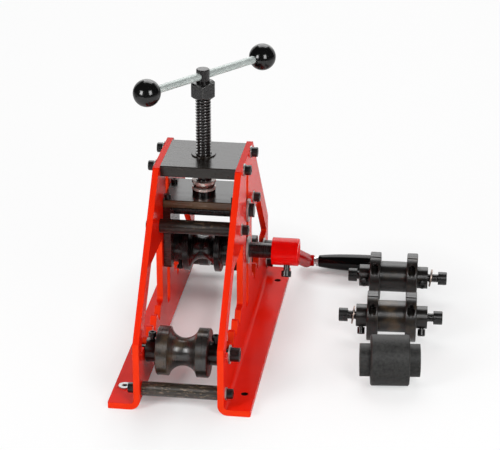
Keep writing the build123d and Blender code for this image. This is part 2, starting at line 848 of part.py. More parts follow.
with BuildPart() as screw_nut:
    with BuildSketch(Plane.XY.offset(nut_bottom)):
        RegularPolygon(nut_across_flats / 2, 6, major_radius=False, rotation=nut_turn - 90)
    extrude(amount=nut_height)
    with BuildSketch(Plane.XZ):
        with BuildLine():
            corner = nut_across_flats / 2 / cos(radians(30))
            Polyline(
                (0, nut_bottom),
                (nut_land, nut_bottom),
                (corner, nut_bottom + nut_chamfer),
                (corner, neck_bottom - nut_chamfer),
                (nut_land, neck_bottom),
                (0, neck_bottom),
                close=True,
            )
        make_face()
    revolve(axis=Axis.Z, mode=Mode.INTERSECT)
    with BuildSketch(Plane.XY.offset(nut_bottom)):
        Circle(pilot_bore / 2)
    extrude(amount=nut_height, mode=Mode.SUBTRACT)
save(screw_nut, "screw_nut")

with BuildPart() as tommy_bar:
    add(tube(bar_frame, -knob_spacing / 2, knob_spacing, bar_diameter))
save(tommy_bar, "tommy_bar")


def ball_knob():
    """A ball with a flat and a hole for the end of the bar, which enters along local Z from below."""
    with BuildPart() as knob:
        Sphere(knob_diameter / 2)
        split(bisect_by=Plane.XY.offset(knob_flat - knob_diameter / 2), keep=Keep.TOP)
        with BuildSketch():
            Circle(bar_diameter / 2 + thread_clearance)
        extrude(amount=-knob_diameter / 2, mode=Mode.SUBTRACT)
    return knob.part


with BuildPart() as ball_knobs:
    for along, way in ends(knob_spacing / 2):
        with Locations(end_plane(bar_frame, along, way).location):
            add(ball_knob())
save(ball_knobs, "ball_knobs")

# Drive shaft, upper roller and crank

shaft_stop = hub_end - hub_recess
roller_half = upper_roller_width / 2
hub_reach = cheek_inner - side_clearance
roller_left = short_hub - hub_reach
roller_right = roller_left + upper_roller_width
roller_middle = (roller_left + roller_right) / 2
roller_frame = shaft_frame(roller_middle, 0, shaft_height)
hub_reaches = (hub_reach + roller_middle, hub_reach - roller_middle)
roller_screw_inset = m5_head / 2 + roller_screw_margin
roller_screw_places = (roller_left - roller_screw_inset, roller_right + roller_screw_inset)
roller_screw_radius = shaft_diameter / 2 - dimple_depth + roller_screw_length
hub_screw_radius = shaft_diameter / 2 - dimple_depth + hub_screw_length
hub_screw_angle = 180 - crank_drop

with BuildPart() as drive_shaft:
    add(tube(drive_frame, -shaft_end_x, shaft_end_x + shaft_stop, shaft_diameter))
    with BuildSketch(end_plane(drive_frame, -shaft_end_x, -1)):
        Circle(m10_tapped / 2)
    extrude(amount=shaft_washer_thickness - guide_bolt_length - hole_runout, mode=Mode.SUBTRACT)
    for along, angle in zip(roller_screw_places, roller_screw_angles):
        with BuildSketch(radial(drive_frame, along, angle, shaft_diameter / 2)):
            Circle(m5_tapped / 2)
        extrude(amount=-dimple_depth, mode=Mode.SUBTRACT)
    with BuildSketch(radial(drive_frame, crank_arm_x, hub_screw_angle, shaft_diameter / 2)):
        Circle(m8_tapped / 2)
    extrude(amount=-dimple_depth, mode=Mode.SUBTRACT)
save(drive_shaft, "drive_shaft")


def tap_hubs(frame, places):
    """Cutters for the tapped holes of the set screws in the hubs of an upper roller."""
    planes = [radial(frame, along, angle, 0) for along, angle in zip(places, roller_screw_angles)]
    return [tube(plane, 0, upper_roller_hub, m5_tapped) for plane in planes]


with BuildPart() as upper_roller:
    add(
        grooved_roller(
            roller_frame,
            upper_roller_diameter,
            upper_roller_width,
            upper_roller_groove_width,
            upper_roller_core,
            shaft_bore,
            hub_reaches,
        )
    )
    add(tap_hubs(drive_frame, roller_screw_places), mode=Mode.SUBTRACT)
save(upper_roller, "upper_roller")

with BuildPart() as upper_roller_screws:
    for along, angle in zip(roller_screw_places, roller_screw_angles):
        with Locations(radial(drive_frame, along, angle, roller_screw_radius).location):
            add(m5_roller_screw)
save(upper_roller_screws, "upper_roller_screws")

with BuildPart() as shaft_washers:
    left_end = end_plane(drive_frame, -shaft_end_x, -1)
    add(tube(left_end, 0, shaft_washer_thickness, shaft_washer, m10_hole))
    add(tube(drive_frame, shaft_end_x, shaft_washer_thickness, shaft_washer, shaft_bore))
save(shaft_washers, "shaft_washers")

with BuildPart() as shaft_end_bolt:
    with Locations(end_plane(drive_frame, -shaft_end_x - shaft_washer_thickness, -1).location):
        add(m10_bolt)
save(shaft_end_bolt, "shaft_end_bolt")

with BuildPart() as crank_hub:
    add(tube(drive_frame, hub_start, hub_length, hub_diameter, shaft_bore))
    chamfer(crank_hub.edges().group_by(Axis.X)[-1], bar_chamfer)
    with BuildSketch(radial(drive_frame, crank_arm_x, hub_screw_angle, 0)):
        Circle(m8_tapped / 2)
    extrude(amount=hub_diameter, mode=Mode.SUBTRACT)
save(crank_hub, "crank_hub")

with BuildPart() as hub_screw:
    with Locations(radial(drive_frame, crank_arm_x, hub_screw_angle, hub_screw_radius).location):
        add(m8_hub_screw)
save(hub_screw, "hub_screw")

# The arm runs from the hub, away from the operator and down, to the axis of the grip
arm_frame = radial(drive_frame, crank_arm_x, -90 - crank_drop, 0)
grip_axis = arm_frame.origin + arm_frame.z_dir * crank_radius
grip_frame = Plane(origin=grip_axis, x_dir=(0, 0, 1), z_dir=(1, 0, 0))
arm_half = crank_arm_diameter / 2

with BuildPart() as crank_arm:
    add(tube(arm_frame, 0, crank_radius + crank_end, crank_arm_diameter))
    chamfer(crank_arm.faces().sort_by(Axis(arm_frame.origin, arm_frame.z_dir))[-1].edges(), bar_chamfer)
    add(tube(drive_frame, hub_start, hub_length, hub_diameter + 2 * running_clearance), mode=Mode.SUBTRACT)
    spindle_bore = spindle_diameter + 2 * running_clearance
    add(tube(grip_frame, -arm_half, crank_arm_diameter, spindle_bore), mode=Mode.SUBTRACT)
save(crank_arm, "crank_arm")

flange_start = arm_half + spindle_gap
grip_start = flange_start + spindle_flange_thickness + grip_clearance
spindle_end = grip_start + grip_length - grip_wall

with BuildPart() as grip_spindle:
    add(tube(grip_frame, -arm_half, arm_half + spindle_end, spindle_diameter))
    add(tube(grip_frame, flange_start, spindle_flange_thickness, spindle_flange))
save(grip_spindle, "grip_spindle")

with BuildPart() as crank_grip:
    grip_end = grip_start + grip_length
    widest = grip_diameter / 2
    with BuildSketch(profile_plane(grip_frame)):
        with BuildLine():
            Polyline(
                (grip_end - grip_end_radius, widest),
                (grip_end - grip_end_radius, 0),
                (grip_start, 0),
                (grip_start, grip_neck / 2),
            )
            Spline(
                (grip_start, grip_neck / 2),
                (grip_end - grip_end_radius, widest),
                tangents=((1, 0.2), (1, 0)),
            )
        make_face()
        with BuildLine():
            Polyline(
                (grip_end - grip_end_radius, widest),
                (grip_end - grip_end_radius, 0),
                (grip_end, 0),
                (grip_end, widest - grip_end_radius),
            )
            RadiusArc(
                (grip_end - grip_end_radius, widest),
                (grip_end, widest - grip_end_radius),
                grip_end_radius,
            )
        make_face()
    revolve(axis=shaft_axis(grip_frame))
    add(
        tube(grip_frame, grip_start, spindle_end - grip_start + grip_clearance, spindle_bore),
        mode=Mode.SUBTRACT,
    )
save(crank_grip, "crank_grip")

# Spare upper roller, plain, for square tube

with BuildPart() as spare_upper_roller:
    spare_frame = shaft_frame(spare_roller_x, spare_roller_y, spare_roller_diameter / 2, spare_roller_turn)
    add(tube(spare_frame, -roller_half, upper_roller_width, spare_roller_diameter, shaft_bore))
    chamfer(round_edges(spare_upper_roller, spare_roller_diameter), spare_roller_chamfer)
    add(tube(spare_frame, roller_half, hub_reach - roller_half, upper_roller_hub, shaft_bore))
    add(tube(spare_frame, -hub_reach, hub_reach - roller_half, upper_roller_hub, shaft_bore))
    spare_hub_middle = (roller_half + hub_reach) / 2
    add(tap_hubs(spare_frame, (-spare_hub_middle, spare_hub_middle)), mode=Mode.SUBTRACT)
save(spare_upper_roller, "spare_upper_roller")

# Spare lower sets: clamp flanges on a plain core, set apart to suit the tube

core_bore = axle_diameter + 2 * running_clearance


def clamp_place(frame, along):
    """Where a flange's clamp screw seats: the head points on round the rim, towards the front."""
    slit = outward(frame, clamp_slit_angle)
    round_rim = outward(frame, clamp_slit_angle + 90)
    middle = frame.origin + frame.z_dir * along
    return Plane(origin=middle + slit * clamp_screw_radius + round_rim * clamp_seat, z_dir=round_rim)


def clamp_flange(frame, start):
    """A split ring with a screw pocket milled into its rim."""
    middle = start + flange_width / 2
    with BuildPart() as ring:
        add(tube(frame, start, flange_width, flange_diameter, core_diameter + 2 * running_clearance))
        chamfer(round_edges(ring, flange_diameter), flange_chamfer)
        with BuildSketch(radial(frame, middle, clamp_slit_angle, 0)):
            Rectangle(2 * flange_width, clamp_slit, rotation=90)
        extrude(amount=flange_diameter, mode=Mode.SUBTRACT)
        place = clamp_place(frame, middle)
        with BuildSketch(place):
            Circle(m6_head / 2 + running_clearance + groove_clearance)
        extrude(amount=flange_diameter / 2, mode=Mode.SUBTRACT)
        with BuildSketch(place):
            Circle(m6_tapped / 2)
        extrude(amount=-clamp_screw_length - hole_runout / 2, mode=Mode.SUBTRACT)
    return ring.part


near_frame = shaft_frame(near_set_x, near_set_y, flange_diameter / 2, near_set_turn)
far_frame = shaft_frame(far_set_x, far_set_y, flange_diameter / 2, far_set_turn)
# Each set: its name, its frame, the way its collar screws point and the end that keeps its washer
spare_sets = [
    ("near", near_frame, near_set_screw_angle, -1),
    ("far", far_frame, far_set_screw_angle, 1),
]
for label, frame, screw_angle, washer_way in spare_sets:
    with BuildPart() as spare_axle:
        add(axle_bar(frame, screw_angle))
    save(spare_axle, f"{label}_spare_axle")

    with BuildPart() as spare_core:
        add(tube(frame, -roller_width / 2, roller_width, core_diameter, core_bore))
    save(spare_core, f"{label}_spare_core")

    flange_starts = (-roller_width / 2, roller_width / 2 - flange_width)
    with BuildPart() as spare_flanges:
        for start in flange_starts:
            add(clamp_flange(frame, start))
    save(spare_flanges, f"{label}_spare_flanges")

    bolt_gaps = [loose_bolt_gap if way == washer_way else short_bolt_gap for way in (-1, 1)]
    end_bolts = [(m12_bolt, gap) for gap in bolt_gaps]
    collars, screws, bolts = axle_pieces([(frame, screw_angle)], end_bolts)
    with BuildPart() as spare_collars:
        add(collars)
    save(spare_collars, f"{label}_spare_collars")

    with BuildPart() as spare_screws:
        add(screws)
        for start in flange_starts:
            with Locations(clamp_place(frame, start + flange_width / 2).location):
                add(m6_clamp_screw)
    save(spare_screws, f"{label}_spare_screws")

    with BuildPart() as spare_bolts:
        add(bolts)
    save(spare_bolts, f"{label}_spare_bolts")

    with BuildPart() as spare_washer:
        add(axle_washer(frame, washer_way, loose_washer_gap, loose_washer_tilt))
    save(spare_washer, f"{label}_spare_washer")
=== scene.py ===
import json
import math

import bmesh
import bpy
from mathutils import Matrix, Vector


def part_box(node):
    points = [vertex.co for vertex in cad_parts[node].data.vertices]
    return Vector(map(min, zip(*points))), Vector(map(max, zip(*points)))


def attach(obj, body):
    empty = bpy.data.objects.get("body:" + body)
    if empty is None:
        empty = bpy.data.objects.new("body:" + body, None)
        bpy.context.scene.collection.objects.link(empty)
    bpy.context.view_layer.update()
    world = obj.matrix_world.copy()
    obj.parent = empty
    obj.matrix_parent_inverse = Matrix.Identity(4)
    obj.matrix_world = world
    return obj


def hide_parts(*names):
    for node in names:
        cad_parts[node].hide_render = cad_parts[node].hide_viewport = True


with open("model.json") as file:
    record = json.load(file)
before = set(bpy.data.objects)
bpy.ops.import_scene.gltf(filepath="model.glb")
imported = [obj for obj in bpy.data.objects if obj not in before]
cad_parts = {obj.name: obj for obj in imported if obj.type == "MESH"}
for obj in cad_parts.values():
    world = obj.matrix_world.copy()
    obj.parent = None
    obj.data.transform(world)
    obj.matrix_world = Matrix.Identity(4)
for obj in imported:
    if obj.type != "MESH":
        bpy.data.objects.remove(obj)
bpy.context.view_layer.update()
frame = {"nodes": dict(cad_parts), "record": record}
nodes = frame["nodes"]

# The photograph's view: a long lens, from the front and a little to the crank side
CAMERA_PLACE = (0.3805, -2.3626, 1.1958)
CAMERA_AIM = (0.06002, 0.0, 0.16451)
CAMERA_LENS = 143.99
SENSOR_WIDTH = 36.0
VIEW_END = 50.0

UP = Vector((0, 0, 1))
CLOSE = 0.0002  # a vertex this near to a surface belongs to it
PLACE_DIGITS = 5  # hundredths of a millimetre, in metres
TURN_STEPS = 72
SHARP_ANGLE = math.radians(35)

# Threads: a ridge's width at its crest and root as shares of the pitch, and its crest's shape as shares of
# the crest
CREST_SHARE = 0.36
ROOT_SHARE = 0.62
CREST_FLAT = 0.3
CREST_DROP = 0.35
RIDGE_SINK = 0.0002
STEPS_PER_TURN = 40

# The press screw's trapezoidal thread, from its shoulder to the nut
SHOULDER_HEIGHT = 0.2225
NUT_HEIGHT = 0.3385
SCREW_RADIUS = 0.010
SCREW_ROOT = 0.0078
SCREW_PITCH = 0.004

# The spare sets' axles: the middle, and the turn away from the X axis
SPARE_AXLES = {
    "near_spare": (Vector((0.2460, 0.0250, 0.0330)), math.radians(2.9)),
    "far_spare": (Vector((0.2400, 0.1505, 0.0330)), math.radians(1.8)),
}

# The loose M12 bolts in the right and the left end of each axle: where the head's underside lies along the
# axle, and how far the bolt moves along it, because the far set's bolts lie elsewhere in the photograph
LOOSE_BOLTS = {
    "near_spare": ((0.055, 0.0), (-0.058, 0.0)),
    "far_spare": ((0.058, 0.0030), (-0.055, 0.0045)),
}
BOLT_LENGTH = 0.030
BOLT_RADIUS = 0.006
BOLT_ROOT = 0.0051
BOLT_PITCH = 0.00175

# The near set's collar screws have longer heads in the photograph. The heads' undersides lie at these places
# along the axle, at this distance from its axis, in a direction that starts upwards and turns to the front
COLLAR_SCREW_PLACES = (0.039875, -0.039875)
COLLAR_SCREW_TURN = math.radians(150)
COLLAR_SEAT = 0.019
COLLAR_HEAD_RADIUS = 0.0051
COLLAR_HEAD_GROWTH = 0.003

# The tommy bar is thicker in the photograph, and so is its hole in the screw's head
BAR_MIDDLE = Vector((0, 0, 0.3667))
BAR_TURN = math.radians(52)
BAR_WAY = Vector((math.cos(BAR_TURN), math.sin(BAR_TURN), 0))
BAR_REACH = (-0.0945, 0.1055)
BAR_RADIUS = 0.004
THICK_BAR_RADIUS = 0.005
BAR_HOLE_RADIUS = 0.00405
WIDE_HOLE_RADIUS = 0.00508
HEAD_RADIUS = 0.0085

# The moving plate reaches further back in the photograph, and the top plate further down
PLATE_REAR = 0.032
REAR_REACH = 0.007
PLATE_UNDERSIDE = 0.250
UNDERSIDE_DROP = 0.002

# The thrust bearing's races are thicker in the photograph: height and radius, closed round the axis
RACE_BORE = 0.00855
RACE_RADIUS = 0.0155
SHOULDER_BORE = 0.0101
BOSS_TOP = 0.215
BOSS_SIDE = 0.01502
UPPER_RACE_PROFILE = (
    (0.2210, RACE_BORE),
    (0.2210, 0.0143),
    (0.2228, 0.0143),
    (0.2228, RACE_RADIUS),
    (0.2250, RACE_RADIUS),
    (0.2256, 0.0149),
    (0.2256, SHOULDER_BORE),
    (SHOULDER_HEIGHT, SHOULDER_BORE),
    (SHOULDER_HEIGHT, RACE_BORE),
)
LOWER_RACE_PROFILE = (
    (BOSS_TOP, RACE_BORE),
    (BOSS_TOP, BOSS_SIDE),
    (0.2134, BOSS_SIDE),
    (0.2134, RACE_RADIUS),
    (0.2158, RACE_RADIUS),
    (0.2165, 0.0148),
    (0.2165, RACE_BORE),
)

# The bush stands a little proud of the top plate
BUSH_BOTTOM = 0.248
PLATE_TOP = 0.260
BUSH_PROUD = 0.0016
BUSH_TOP = PLATE_TOP + BUSH_PROUD
BUSH_RADIUS = 0.016
BUSH_RIM_RADIUS = 0.0155
BUSH_BORE = 0.01012
BUSH_EDGE = 0.0004
BUSH_PROFILE = (
    (BUSH_BOTTOM, BUSH_BORE),
    (BUSH_BOTTOM, BUSH_RADIUS),
    (PLATE_TOP - BUSH_EDGE, BUSH_RADIUS),
    (PLATE_TOP - BUSH_EDGE, BUSH_RIM_RADIUS),
    (BUSH_TOP - BUSH_EDGE, BUSH_RIM_RADIUS),
    (BUSH_TOP, BUSH_RIM_RADIUS - BUSH_EDGE),
    (BUSH_TOP, BUSH_BORE + BUSH_EDGE),
    (BUSH_TOP - BUSH_EDGE, BUSH_BORE),
)

# The grip's profile as distance from its end at the arm, and radius
GRIP_BORE = 0.0051
GRIP_SOLID_END = 0.0077
GRIP_PROFILE = (
    (0.0000, 0.0072),
    (0.0003, 0.0079),
    (0.0012, 0.0084),
    (0.0080, 0.0093),
    (0.0180, 0.0103),
    (0.0300, 0.0112),
    (0.0450, 0.0119),
    (0.0610, 0.0124),
    (0.0750, 0.0125),
    (0.0769, 0.0121),
    (0.0785, 0.0110),
    (0.0796, 0.0093),
    (0.0800, 0.0075),
)

# The eye at the arm's end, which holds the grip's spindle and stands a little proud of the arm
EYE_LENGTH = 0.0096
EYE_PROUD = 0.0016
EYE_RADIUS = 0.008
EYE_BORE = 0.00505
EYE_EDGE = 0.0005

# The feet's anchor holes, lined inside with a thin dark sheet
ANCHOR_X = 0.0762
ANCHOR_Y = 0.170
ANCHOR_RADIUS = 0.0045
LINING_WALL = 0.0001
LINING_BORE = ANCHOR_RADIUS - LINING_WALL
LINING_HEIGHT = 0.0077
LINING_PROFILE = (
    (0.0, LINING_BORE),
    (0.0, ANCHOR_RADIUS),
    (LINING_HEIGHT, ANCHOR_RADIUS),
    (LINING_HEIGHT, LINING_BORE),
)

# Finishes: the part of a noise's range that is used, how far the rounded normal leaves a face's own on a
# rubbed edge, and how far a face looks along an axis
NOISE_RANGE = (0.3, 0.7)
EDGE_RANGE = (0.98, 0.80)
# How far a face must look along an axis to take painted light or shade
PAINTED_LIGHT_RANGE = (0.6, 0.9)
BEVEL_SAMPLES = 6

# Fineness and detail of the finishes' noises
CLOUD_SCALE = 25
CLOUD_DETAIL = 2
PEEL_SCALE = 420
PEEL_DETAIL = 1
RIPPLE_SCALE = 90
RIPPLE_DETAIL = 1
GRAIN_SCALE = 60
GRAIN_DETAIL = 4
PATCH_DETAIL = 5

# Strength and depth of their relief, the radius of rounded edges, and how far the roughness wanders
PEEL_STRENGTH = 0.05
RIPPLE_STRENGTH = 0.01
FILM_STRENGTH = 0.03
METAL_STRENGTH = 0.01
PEEL_DEPTH = 0.0004
GRAIN_DEPTH = 0.0002
PAINT_EDGE = 0.0008
METAL_EDGE = 0.0004
PLASTIC_EDGE = 0.0005
SMOOTHER = 0.05
ROUGHER = 0.06

# Grain by direction: even, fine round a shaft along X, across a ground plate, and along a drawn bar
EVEN = (1, 1, 1)
TURNED_X = (60, 1, 1)
GROUND = (1, 6, 6)
DRAWN = (0.3, 1, 1)
PATCHES_DRAWN = (0.4, 1, 1)
GROUND_SCALE = 30
DRAWN_SCALE = 300
MATT_SCALE = 260
LATHE_AXIS = (1.0, 0.03, 0.02)  # X, and a little off it, so that no face is quite square to it

EDGE_BROWN = (0.055, 0.042, 0.034)
# On the nut the light edge colour is partly wear and partly a painted highlight
EDGE_WEAR_AND_HIGHLIGHT = (0.22, 0.21, 0.20)

# The studio: white paper under and behind the machine, what the lamps point at, and the world's glow
PAPER_SHADE = 0.88
FLOOR_SIZE = (8, 6)
FLOOR_PLACE = (0, 1.8, 0)
FLOOR_GLOW = 0.92
FLOOR_MIRRORED = 0.1
BACKDROP_SIZE = (8, 3)
BACKDROP_PLACE = (0, 3.2, 1.5)
BACKDROP_TURN = (math.radians(90), 0, 0)
BACKDROP_GLOW = 1.0
BACKDROP_MIRRORED = 0.9
LAMP_AIM = Vector((0.02, 0.0, 0.17))
WORLD_LIGHT = 0.04
WORLD_SEEN = 1.0

# Shaded places on the floor: the middle, one over the half width and half length, and the share of glow there
SHADED_AREAS = (
    ((0.02, 0.012, 0), (9.0, 4.2, 0), 0.30),  # round the machine
    ((0.235, 0.03, 0), (9.0, 5.0, 0), 0.55),  # round the spares
    ((-0.035, 0.02, 0), (20.0, 3.8, 0), 0.15),  # between the side plates
    ((0.168, 0.215, 0), (16.0, 28.0, 0), 0.15),  # beside the grip
)
SHADE_RANGE = (0.7, 1.7)


def node_tree(material):
    """A new node tree with a Principled shader, and the shader itself."""
    material.use_nodes = True
    return material.node_tree, material.node_tree.nodes["Principled BSDF"]


def calculate(tree, kind, operation, *values):
    """A maths node, fed with other nodes' outputs or with plain values."""
    node = tree.nodes.new(kind)
    node.operation = operation
    for socket, value in zip(node.inputs, values):
        if isinstance(value, bpy.types.NodeSocket):
            tree.links.new(value, socket)
        else:
            socket.default_value = value
    return node


def ramp(tree, value, span, low=0.0, high=1.0):
    """A value carried from a span over to the range low to high."""
    mapped = tree.nodes.new("ShaderNodeMapRange")
    mapped.inputs["From Min"].default_value = span[0]
    mapped.inputs["From Max"].default_value = span[1]
    mapped.inputs["To Min"].default_value = low
    mapped.inputs["To Max"].default_value = high
    tree.links.new(value, mapped.inputs["Value"])
    return mapped.outputs["Result"]


def texture_noise(tree, scale, detail, stretch=EVEN):
    """A noise on the object's own coordinates, which are the part's, in metres."""
    coordinates = tree.nodes.new("ShaderNodeTexCoord")
    mapping = tree.nodes.new("ShaderNodeMapping")
    mapping.inputs["Scale"].default_value = stretch
    noise = tree.nodes.new("ShaderNodeTexNoise")
    noise.inputs["Scale"].default_value = scale
    noise.inputs["Detail"].default_value = detail
    tree.links.new(coordinates.outputs["Object"], mapping.inputs["Vector"])
    tree.links.new(mapping.outputs["Vector"], noise.inputs["Vector"])
    return noise.outputs["Fac"]


def lay_over(tree, shader, share, colour):
    """Another colour laid over the shader's base colour, as far as the share says."""
    base = shader.inputs["Base Color"]
    mix = tree.nodes.new("ShaderNodeMix")
    mix.data_type = "RGBA"
    mix.inputs["A"].default_value = tuple(base.default_value)
    mix.inputs["B"].default_value = (*colour, 1)
    if base.is_linked:
        tree.links.new(base.links[0].from_socket, mix.inputs["A"])
    tree.links.new(share, mix.inputs["Factor"])
    tree.links.new(mix.outputs["Result"], base)


def mottle(tree, shader, noise, dark, light):
    """Colour that wanders between two tones."""
    shader.inputs["Base Color"].default_value = (*dark, 1)
    lay_over(tree, shader, ramp(tree, noise, NOISE_RANGE), light)


def rounded_normal(tree, radius):
    """The normal of a surface whose edges are rounded off."""
    bevel = tree.nodes.new("ShaderNodeBevel")
    bevel.samples = BEVEL_SAMPLES
    bevel.inputs["Radius"].default_value = radius
    return bevel.outputs["Normal"]


def soft_edges(tree, shader, radius, height, strength, depth):
    """Rounded edges in the shading, with a fine relief over them."""
    bump = tree.nodes.new("ShaderNodeBump")
    bump.inputs["Strength"].default_value = strength
    bump.inputs["Distance"].default_value = depth
    tree.links.new(height, bump.inputs["Height"])
    tree.links.new(rounded_normal(tree, radius), bump.inputs["Normal"])
    tree.links.new(bump.outputs["Normal"], shader.inputs["Normal"])


def worn_edges(tree, shader, colour, radius):
    """The film rubbed thin along the edges, wherever the rounded normal leaves the face's own; a bright edge
    colour is a painted highlight as well.
    """
    own_normal = tree.nodes.new("ShaderNodeNewGeometry").outputs["Normal"]
    alike = calculate(tree, "ShaderNodeVectorMath", "DOT_PRODUCT", rounded_normal(tree, radius), own_normal)
    lay_over(tree, shader, ramp(tree, alike.outputs["Value"], EDGE_RANGE), colour)


def patina(tree, shader, colour, scale, stretch, span):
    """Brown patches over the film, where a coarse noise rises through a span."""
    lay_over(tree, shader, ramp(tree, texture_noise(tree, scale, PATCH_DETAIL, stretch), span), colour)


def paint_light_by_facing(tree, shader, axis, colour):
    """Painted light and shade: another colour on faces that look along an axis, cut edges along Y or flat
    sides along Z.
    """
    coordinates = tree.nodes.new("ShaderNodeTexCoord")
    parts = tree.nodes.new("ShaderNodeSeparateXYZ")
    tree.links.new(coordinates.outputs["Normal"], parts.inputs["Vector"])
    along_axis = calculate(tree, "ShaderNodeMath", "ABSOLUTE", parts.outputs[axis])
    lay_over(tree, shader, ramp(tree, along_axis.outputs["Value"], PAINTED_LIGHT_RANGE), colour)


def uneven_roughness(tree, shader, noise, roughness):
    """Roughness that wanders with the grain."""
    wandering = ramp(tree, noise, NOISE_RANGE, roughness - SMOOTHER, roughness + ROUGHER)
    tree.links.new(wandering, shader.inputs["Roughness"])


def turned(tree, shader, drawn_out):
    """Lathe marks: the surface scatters light along the axis of turning."""
    shader.inputs["Anisotropic"].default_value = drawn_out
    axis = tree.nodes.new("ShaderNodeCombineXYZ")
    for socket, value in zip(axis.inputs, LATHE_AXIS):
        socket.default_value = value
    placed = tree.nodes.new("ShaderNodeVectorTransform")
    placed.vector_type = "VECTOR"
    placed.convert_from = "OBJECT"
    placed.convert_to = "WORLD"
    tree.links.new(axis.outputs["Vector"], placed.inputs["Vector"])
    tree.links.new(placed.outputs["Vector"], shader.inputs["Tangent"])


def paint(name, dark, light, roughness, gloss, edges=None):
    """Powder coat or enamel: a smooth film with a trace of orange peel."""
    material = bpy.data.materials.new(name)
    tree, shader = node_tree(material)
    shader.inputs["Roughness"].default_value = roughness
    shader.inputs["Specular IOR Level"].default_value = gloss
    mottle(tree, shader, texture_noise(tree, CLOUD_SCALE, CLOUD_DETAIL), dark, light)
    # Painted light: the cut edges that look along Y get a lighter, more orange red
    if edges:
        paint_light_by_facing(tree, shader, "Y", edges)
    peel = texture_noise(tree, PEEL_SCALE, PEEL_DETAIL)
    soft_edges(tree, shader, PAINT_EDGE, peel, PEEL_STRENGTH, PEEL_DEPTH)
    return material


def oxide(
    name, dark, light, roughness, gloss, grain=EVEN, grain_scale=GRAIN_SCALE, edge=METAL_EDGE,
    relief=FILM_STRENGTH, lathe=0.0, patches=None, painted_flat_shade=None, rubbed=EDGE_BROWN,
):
    """Steel under a dark film: dark in itself, with the film's own gloss, and lighter on its rubbed edges,
    which in a bright colour carry a painted highlight as well.

    Patches have a colour, a scale, a stretch and the span of noise through which they rise.
    """
    material = bpy.data.materials.new(name)
    tree, shader = node_tree(material)
    shader.inputs["Specular IOR Level"].default_value = gloss
    if lathe:
        turned(tree, shader, lathe)
    noise = texture_noise(tree, grain_scale, GRAIN_DETAIL, grain)
    mottle(tree, shader, noise, dark, light)
    if patches:
        patina(tree, shader, **patches)
    # Painted shade: the flat faces along Z take a darker colour
    if painted_flat_shade:
        paint_light_by_facing(tree, shader, "Z", painted_flat_shade)
    worn_edges(tree, shader, rubbed, edge)
    uneven_roughness(tree, shader, noise, roughness)
    soft_edges(tree, shader, edge, noise, relief, GRAIN_DEPTH)
    return material


def steel(name, dark, light, roughness, metallic=1.0, painted_flat_shade=None):
    """Plated or bare metal, mottled between two tones."""
    material = bpy.data.materials.new(name)
    tree, shader = node_tree(material)
    shader.inputs["Metallic"].default_value = metallic
    noise = texture_noise(tree, GRAIN_SCALE, GRAIN_DETAIL)
    mottle(tree, shader, noise, dark, light)
    # Painted shade: the flat faces along Z take a darker colour
    if painted_flat_shade:
        paint_light_by_facing(tree, shader, "Z", painted_flat_shade)
    uneven_roughness(tree, shader, noise, roughness)
    soft_edges(tree, shader, METAL_EDGE, noise, METAL_STRENGTH, GRAIN_DEPTH)
    return material


def plastic(name, dark, light, roughness, gloss):
    """Moulded plastic."""
    material = bpy.data.materials.new(name)
    tree, shader = node_tree(material)
    shader.inputs["Roughness"].default_value = roughness
    shader.inputs["Specular IOR Level"].default_value = gloss
    ripples = texture_noise(tree, RIPPLE_SCALE, RIPPLE_DETAIL)
    mottle(tree, shader, ripples, dark, light)
    soft_edges(tree, shader, PLASTIC_EDGE, ripples, RIPPLE_STRENGTH, GRAIN_DEPTH)
    return material


finishes = {
    # The red powder coat's lighter, more orange cut edges are painted light
    "red_powder_coat": paint(
        "red_powder_coat", dark=(0.70, 0.010, 0.002), light=(0.76, 0.013, 0.003),
        roughness=0.20, gloss=0.03, edges=(0.80, 0.036, 0.008),
    ),
    "red_crank_paint": paint(
        "red_crank_paint", dark=(0.72, 0.002, 0.001), light=(0.80, 0.003, 0.002),
        roughness=0.22, gloss=0.18,
    ),
    "bright_zinc": steel(
        "bright_zinc", dark=(0.42, 0.44, 0.43), light=(0.54, 0.56, 0.55),
        roughness=0.50,
    ),
    # The races' warm tint is a painted reflection of the red plates, and their flat faces are painted darker
    # shade
    "bearing_steel": steel(
        "bearing_steel", dark=(0.64, 0.55, 0.50), light=(0.76, 0.66, 0.61),
        roughness=0.26, metallic=0.5, painted_flat_shade=(0.50, 0.43, 0.40),
    ),
    "bronze": steel(
        "bronze", dark=(0.14, 0.06, 0.05), light=(0.24, 0.12, 0.09),
        roughness=0.24, metallic=0.7,
    ),
    "black_gloss_plastic": plastic(
        "black_gloss_plastic", dark=(0.003, 0.003, 0.003), light=(0.005, 0.005, 0.005),
        roughness=0.15, gloss=0.5,
    ),
    "black_oxide_plate": oxide(
        "black_oxide_plate", dark=(0.006, 0.004, 0.003), light=(0.014, 0.010, 0.007),
        roughness=0.24, gloss=0.5, grain=GROUND, grain_scale=GROUND_SCALE,
    ),
    "black_fasteners": oxide(
        "black_fasteners", dark=(0.004, 0.004, 0.004), light=(0.010, 0.010, 0.010),
        roughness=0.28, gloss=0.5,
    ),
    "dark_shaft_steel": oxide(
        "dark_shaft_steel", dark=(0.004, 0.003, 0.003), light=(0.010, 0.008, 0.008),
        roughness=0.26, gloss=0.55, grain=TURNED_X,
    ),
    "black_oxide_turned": oxide(
        "black_oxide_turned", dark=(0.004, 0.003, 0.003), light=(0.014, 0.012, 0.010),
        roughness=0.32, gloss=0.65, grain=TURNED_X, lathe=0.6,
        patches={"colour": (0.045, 0.033, 0.020), "scale": 60, "stretch": EVEN, "span": (0.56, 0.74)},
    ),
}
